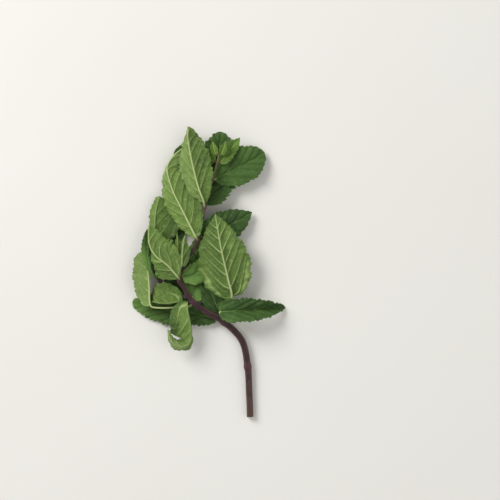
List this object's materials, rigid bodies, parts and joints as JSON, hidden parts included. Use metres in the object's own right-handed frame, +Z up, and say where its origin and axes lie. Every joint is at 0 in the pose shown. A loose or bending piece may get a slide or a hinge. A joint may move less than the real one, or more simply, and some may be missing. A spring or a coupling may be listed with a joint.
{
  "type": "mint sprig",
  "caption": "Cut sprig of garden mint lying on a surface: a square purple stem with opposite toothed leaves, a side shoot and a leafy growing tip.",
  "frame": {"origin": "on the surface that the sprig lies on, under the middle of its bounding box", "axes": "+Y along the sprig from its cut end to its growing tip, +Z up from the surface, +X to the right seen from above"},
  "size_m": [0.0913, 0.172, 0.0189],
  "materials": {
    "stem": "satin, purple-brown with pinkish ridges, greener towards the tip",
    "leaf_upper": "matte, dark green upper face, softly puckered between sunken veins",
    "leaf_under": "matte, pale green underside with raised cream veins",
    "leaf_young": "matte, yellow-green"
  },
  "bodies": {
    "root": {"stem": "stem", "leaf_1_left": "leaf_upper", "leaf_1_right": "leaf_upper", "leaf_1_back": "leaf_upper", "leaf_2_back": "leaf_upper", "side_leaf_middle": "leaf_upper", "side_leaf_low": "leaf_upper", "side_leaf_under": "leaf_upper", "leaf_3_right": "leaf_upper", "leaf_4_right": "leaf_upper", "leaf_5_back": "leaf_upper", "leaf_6_left": "leaf_upper", "leaf_6_right": "leaf_upper", "leaf_1_axil": "leaf_under", "leaf_2_low": "leaf_under", "side_leaf_front": "leaf_under", "side_leaf_back": "leaf_under", "side_leaf_tip": "leaf_under", "leaf_3_left": "leaf_under", "bud_leaf_right": "leaf_under", "leaf_4_left": "leaf_under", "leaf_5_front": "leaf_under", "bud_leaf_left": "leaf_young", "leaf_7_left": "leaf_young", "leaf_7_right": "leaf_young", "tip_leaf_left": "leaf_young", "tip_leaf_right": "leaf_young"}
  },
  "joints": []
}
